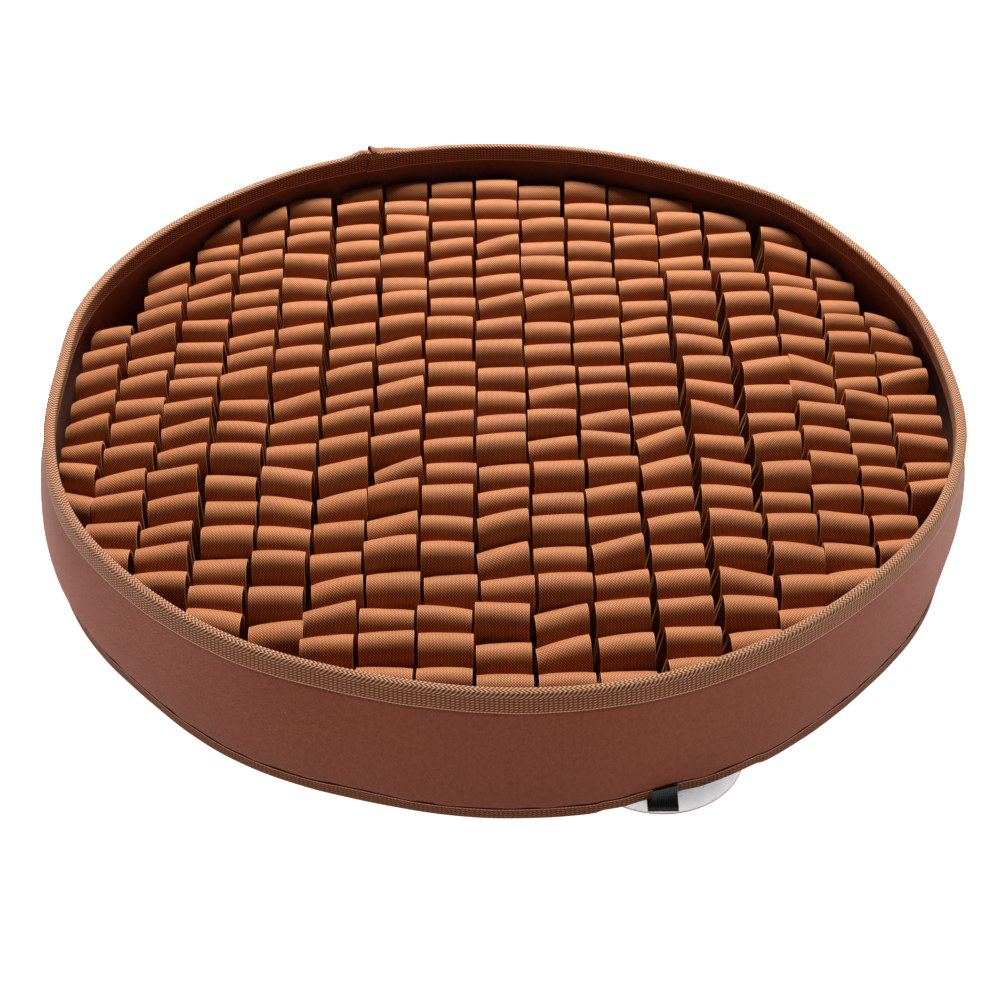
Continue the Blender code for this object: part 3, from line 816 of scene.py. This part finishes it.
def inside_wall(x, y):
    """The point itself, or drawn in to where the wall would press it."""
    azimuth = math.degrees(math.atan2(y, x))
    inner_face = rim_radius(azimuth) - TAPE_THICK - GAP - CLOTH_THICK
    limit = inner_face - WALL_CLEARANCE - 0.5 * STRIP_THICK
    reach = math.hypot(x, y)
    draw_in = min(1.0, limit / reach)
    return x * draw_in, y * draw_in


def left_edge(number, y):
    """Left edge of a strip's crowns, on a smooth bow through its three places."""
    rear, middle, front = STRIPS[number][0]
    share = y / PLAN_REACH
    return middle + 0.5 * (rear - front) * share + (0.5 * (rear + front) - middle) * share ** 2


def crown_edges(number, y):
    """Left and right edge of a strip at its crowns, at a distance from front to back."""
    left = left_edge(number, y)
    if number + 1 < len(STRIPS):
        limit = left_edge(number + 1, y) - STRIP_PARTING
    else:
        limit = STRIPS_RIGHT_EDGE
    return left, min(left + STRIP_WIDTH, limit)


def strip_layout(number, dice):
    """Each loop of a strip: sewn middle, and crown (y, z) at its left and right edge."""
    _, rear, front, slopes = STRIPS[number]
    loops = []
    for k, slope in enumerate(slopes):
        middle = rear + (front - rear) * k / (len(slopes) - 1)
        tangent = math.tan(math.radians(slope))
        rise = 0.5 * STRIP_WIDTH * SLOPE_TO_RISE * tangent
        yaw = 0.5 * STRIP_WIDTH * SLOPE_TO_YAW * tangent
        z = CROWN_Z + dice.uniform(-CROWN_Z_SPREAD, CROWN_Z_SPREAD)
        y = middle + dice.uniform(-CROWN_LEAN_SPREAD, CROWN_LEAN_SPREAD)
        loops.append((middle, ((y - yaw, z - rise), (y + yaw, z + rise))))
    return loops


def crown_form(loops, k, side):
    """A loop's (crown y, shoulder z, half width) at its left or right edge."""
    y, top = loops[k][1][side]
    nearest = min(abs(y - loops[n][1][side][0]) for n in (k - 1, k + 1) if 0 <= n < len(loops))
    half = min(LOOP_HALF_WIDTH, 0.5 * (nearest - LOOP_PARTING - STRIP_THICK))
    return y, top - 0.5 * STRIP_THICK - half, half


def leg_path(foot, shoulder_y, shoulder, outward):
    """(y, z, level) up one leg, from the sewn turn to just under the shoulder."""
    path = [(foot + outward * 0.5 * VALLEY_WIDTH, SEWN_Z, 0.0),
            (foot + outward * 0.5 * FOOT_TURN, SEWN_Z + 0.5 * FOOT_TURN, 0.0)]
    for step in range(1, LEG_ROWS + 1):
        share = step / (LEG_ROWS + 1)
        waist = outward * LEG_WAIST * math.sin(math.pi * share)
        path.append((mix(foot, shoulder_y, share) - waist, mix(SEWN_Z, shoulder, share), share))
    return path


def loop_path(middle, sewn_half, form, plumpness):
    """(y, z, level) over one loop, from its rear foot to its front foot."""
    y, shoulder, half = form
    rise = half
    half *= plumpness
    rear = leg_path(middle + sewn_half, y + half, shoulder, 1.0)
    front = leg_path(middle - sewn_half, y - half, shoulder, -1.0)
    arch = []
    for step in range(ARCH_ROWS + 1):
        turn = math.pi * step / ARCH_ROWS
        arch.append((y + half * math.cos(turn), shoulder + rise * math.sin(turn), 1.0))
    return rear + arch + front[::-1]


def crown_shift(number, y):
    """Sideways shift of a crown; neighbours in a row move nearly together and stay clear."""
    lag = NEIGHBOUR_PHASE * number
    return sum(height * math.sin(2.0 * math.pi * y / length + lag + phase)
               for length, height, phase in CROWN_SHIFT_WAVES)


def strip_column(number, loops, share, habits):
    """Points along one lengthwise line of the ribbon, at a share of its width."""
    pitch = loops[0][0] - loops[1][0]
    from_middle = abs(2.0 * share - 1.0)
    sewn = SEWN_LEFT_X + SEWN_PITCH * number + share * STRIP_WIDTH
    points = []
    for k, (middle, ends) in enumerate(loops):
        left, right = (crown_form(loops, k, side) for side in (0, 1))
        crown, shoulder, half = (mix(a, b, share) for a, b in zip(left, right))
        plumpness, sag, aside = habits[k]
        shoulder += sag * (1.0 - from_middle ** 2) - EDGE_CURL * from_middle ** 4
        # a crown that slants is narrower as seen from above
        width = STRIP_WIDTH ** 2 / math.hypot(STRIP_WIDTH, math.dist(*ends))
        turned = (ends[1][0] - ends[0][0]) / STRIP_WIDTH
        shift = crown_shift(number, middle) + aside
        over = loop_path(middle, 0.5 * (pitch - VALLEY_WIDTH), (crown, shoulder, half), plumpness)
        # each loop but the first starts where the one behind it ends
        for y, z, level in over if k == 0 else over[1:]:
            left_limit, right_limit = crown_edges(number, y)
            spare = 0.5 * max(right_limit - left_limit - width, 0.0) + CROWN_DRAW_IN
            x = mix(left_limit + spare, right_limit - spare, share)
            x += shift - CROWN_TWIST * turned * (y - crown)
            points.append((*inside_wall(mix(sewn, x, level), y), z))
    return points


def make_strips(finish):
    dice = random.Random(UNEVENNESS_SEED)
    looks = random.Random(UNEVENNESS_SEED + 1)
    for number in range(len(STRIPS)):
        loops = strip_layout(number, dice)
        habits = [(looks.uniform(*PLUMPNESS), looks.uniform(-CROWN_SAG_SPREAD, CROWN_SAG_SPREAD),
                   looks.uniform(-CROWN_ASIDE_SPREAD, CROWN_ASIDE_SPREAD)) for _ in loops]
        shares = [k / STRIP_COLUMNS for k in range(STRIP_COLUMNS + 1)]
        columns = [strip_column(number, loops, share, habits) for share in shares]
        lengths = lengths_along(columns[STRIP_COLUMNS // 2])
        rows = [list(row) for row in zip(*columns)]
        weave = [[(share * STRIP_WIDTH, length) for share in shares] for length in lengths]
        strip = cloth(f"webbing_loops_{number + 1:02d}", rows, weave, STRIP_THICK)
        dress(strip, finish, "webbing", f"webbing_strip_{number + 1:02d}")


def make_stitches(finish):
    """Rows of stitches under the base, where the webbing is sewn down between its loops."""
    bm = bmesh.new()
    z = SEAM_HEIGHT + GAP - STITCH_STAND
    for number, (_, rear, front, slopes) in enumerate(STRIPS):
        pitch = (rear - front) / (len(slopes) - 1)
        for row in range(len(slopes) + 1):
            y = rear + (0.5 - row) * pitch
            for step in range(STITCHES_ACROSS):
                x = (SEWN_LEFT_X + SEWN_PITCH * number
                     + STRIP_WIDTH * (step + 0.5) / STITCHES_ACROSS)
                edge = base_radius(math.degrees(math.atan2(y, x)))
                if math.hypot(x, y) > edge - STITCH_MARGIN:
                    continue
                size = Matrix.Diagonal((*(MM * side for side in STITCH_SIZE), 1.0))
                place = Matrix.Translation(to_part(x, y, z))
                bmesh.ops.create_icosphere(bm, subdivisions=1, radius=0.5, matrix=place @ size)
    for face in bm.faces:
        face.smooth = True
    dress(add_mesh("base_stitches", bm), finish, "binding_tape")


# --- Suction cup ----------------------------------------------------------------------

CUP_SECTION = (
    # radius, height: from the knob's top over the dish to the hollow beneath
    (0.0, 5.9),
    (3.6, 5.9),
    (4.5, 5.7),
    (5.0, 5.2),
    (4.7, 4.4),
    (4.6, 3.7),
    (5.2, 3.0),
    (6.5, 2.55),
    (8.0, 2.2),
    (14.0, 1.5),
    (18.0, 1.25),
    (22.0, 1.1),
    (30.0, 1.0),
    (34.4, 1.0),
    (35.6, 1.05),
    (36.4, 0.85),
    (36.8, 0.5),
    (36.7, 0.0),
    (34.4, 0.0),
    (33.0, 0.12),
    (28.0, 0.2),
    (12.0, 0.35),
    (0.0, 0.4),
)


def make_cup(finish):
    bm = bmesh.new()
    middle_x, middle_y, _ = on_ring(CUP_AZIMUTH, CUP_CENTRE_RADIUS, 0.0)
    rings = []
    for radius, z in CUP_SECTION:
        steps = CUP_STEPS if radius else 1
        turns = [2.0 * math.pi * k / CUP_STEPS for k in range(steps)]
        rings.append([bm.verts.new(to_part(middle_x + radius * math.cos(turn),
                                           middle_y + radius * math.sin(turn), z))
                      for turn in turns])
    for here, there in zip(rings, rings[1:]):
        for k in range(CUP_STEPS):
            corners = [here[k % len(here)], here[(k + 1) % len(here)],
                       there[(k + 1) % len(there)], there[k % len(there)]]
            bm.faces.new(list(dict.fromkeys(corners))).smooth = True
    bmesh.ops.recalc_face_normals(bm, faces=bm.faces)
    cup = add_mesh("suction_cup_clear", bm)
    cup.data.set_sharp_from_angle(angle=math.radians(SHARP_EDGE))
    dress(cup, finish, "clear_vinyl", "suction_cup")


def smooth_path(points, steps):
    """Points of a Catmull-Rom curve through a path, with so many steps to each stretch."""
    ends = [points[0], *points, points[-1]]
    path = []
    for before, here, there, after in zip(ends, ends[1:], ends[2:], ends[3:]):
        for step in range(steps):
            t = step / steps
            path.append(tuple(
                0.5 * (2 * b + (c - a) * t + (2 * a - 5 * b + 4 * c - d) * t ** 2
                       + (3 * b - a - 3 * c + d) * t ** 3)
                for a, b, c, d in zip(before, here, there, after)))
    return path + [points[-1]]


def make_tab(finish):
    """A short strap down over the seam, out onto the cup, and back under to its knob."""
    reach = foot_radius(TAB_AZIMUTH)
    middle = reach * math.cos(math.radians(TAB_AZIMUTH))
    seam_middle = math.sqrt(reach ** 2 - middle ** 2)
    path = smooth_path(TAB_PATH, TAB_STEPS)
    lengths = lengths_along([(out, z) for out, z, _ in path])
    shares = [k / TAB_COLUMNS - 0.5 for k in range(TAB_COLUMNS + 1)]
    rows = []
    for out, z, square in path:
        width = TAB_WIDTH * mix(*TAB_WIDTH_SHARES, square)
        aside = mix(*TAB_ASIDE, square)
        row = []
        for share in shares:
            x = middle + share * width + aside
            seam = math.sqrt(reach ** 2 - x ** 2)
            row.append((x, -mix(seam, seam_middle, square) - out, z))
        rows.append(row)
    weave = [[(share * TAB_WIDTH, length) for share in shares] for length in lengths]
    tab = cloth("cup_tab_webbing", rows, weave, TAB_THICK)
    dress(tab, finish, "black_webbing", "cup_tab")


# --- Camera, light and floor ----------------------------------------------------------

CAMERA_PLACE = (0.00012, -0.71115, 0.5779)   # in metres
CAMERA_DOWN = 39.876         # degrees below the horizon
CAMERA_ROLL = -0.236
CAMERA_LENS = 65.91
SENSOR_WIDTH = 36.0
NEAREST_SEEN = 0.01          # in metres

LIGHTS = (
    # name, place and diameter in metres, power in watts; each is turned to the mat
    ("key_light", (0.05, 0.92, 1.05), 0.6, 62.0),
    ("front_light", (0.0, -1.8, 0.55), 0.9, 3.2),
    ("left_light", (-1.6, -0.1, 0.035), 0.09, 6.5),
    ("right_light", (1.6, -0.1, 0.035), 0.09, 6.5),
)
SKY_LIGHT = 0.05             # the sky is white to the eye, and dim as a light
FLOOR_REACH = 8.0            # half its side, in metres
FLOOR_DROP = 0.2             # below the mat


def make_camera():
    camera = add_object("camera", bpy.data.cameras.new("camera"))
    camera.data.lens = CAMERA_LENS
    camera.data.sensor_width = SENSOR_WIDTH
    camera.data.clip_start = NEAREST_SEEN
    camera.location = CAMERA_PLACE
    tilt = Matrix.Rotation(math.radians(90.0 - CAMERA_DOWN), 3, "X")
    roll = Matrix.Rotation(math.radians(CAMERA_ROLL), 3, "Z")
    camera.rotation_euler = (tilt @ roll).to_euler()
    bpy.context.scene.camera = camera


def make_lights():
    for name, place, size, power in LIGHTS:
        lamp = bpy.data.lights.new(name, "AREA")
        lamp.shape = "DISK"
        lamp.size = size
        lamp.energy = power
        made = add_object(name, lamp)
        made.location = place
        made.rotation_euler = (-Vector(place)).to_track_quat("-Z", "Y").to_euler()


def make_sky():
    world = bpy.data.worlds.new("studio")
    world.use_nodes = True
    nodes = world.node_tree.nodes
    background = nodes["Background"]
    background.inputs["Color"].default_value = (*WHITE, 1.0)
    seen = nodes.new("ShaderNodeLightPath").outputs["Is Camera Ray"]
    strength = nodes.new("ShaderNodeMapRange")
    strength.inputs["To Min"].default_value = SKY_LIGHT
    world.node_tree.links.new(seen, strength.inputs["Value"])
    world.node_tree.links.new(strength.outputs[0], background.inputs["Strength"])
    bpy.context.scene.world = world


def make_floor(finish):
    bm = bmesh.new()
    bmesh.ops.create_grid(bm, x_segments=1, y_segments=1, size=FLOOR_REACH)
    floor = add_mesh("floor", bm)
    floor.location.z = -FLOOR_DROP * MM
    floor.data.materials.append(finish)


# --- The scene ------------------------------------------------------------------------

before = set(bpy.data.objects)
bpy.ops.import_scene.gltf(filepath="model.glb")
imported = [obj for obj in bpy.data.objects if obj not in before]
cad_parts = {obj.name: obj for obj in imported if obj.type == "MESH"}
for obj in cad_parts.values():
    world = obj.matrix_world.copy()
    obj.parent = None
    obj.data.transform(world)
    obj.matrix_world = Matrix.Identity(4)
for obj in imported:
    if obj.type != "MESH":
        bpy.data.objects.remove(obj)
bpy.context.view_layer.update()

make_camera()
make_lights()
make_sky()
make_floor(floor_material())

oxford = oxford_material()
# the seam's tape takes the rim tape's strands darkened as painted shade
make_bottom_tape(tape_material("seam_tape_weave", SEAM_TAPE_HALF, SEAM_STRANDS_PAINTED_SHADE))
make_wall(oxford)
make_base(oxford)
make_rim_tape(tape_material("rim_tape_weave", RIM_TAPE_HALF, RIM_STRANDS))
make_strips(webbing_material())
make_stitches(thread_material())
make_cup(vinyl_material())
make_tab(tab_material())

bpy.context.scene.view_settings.view_transform = "Standard"
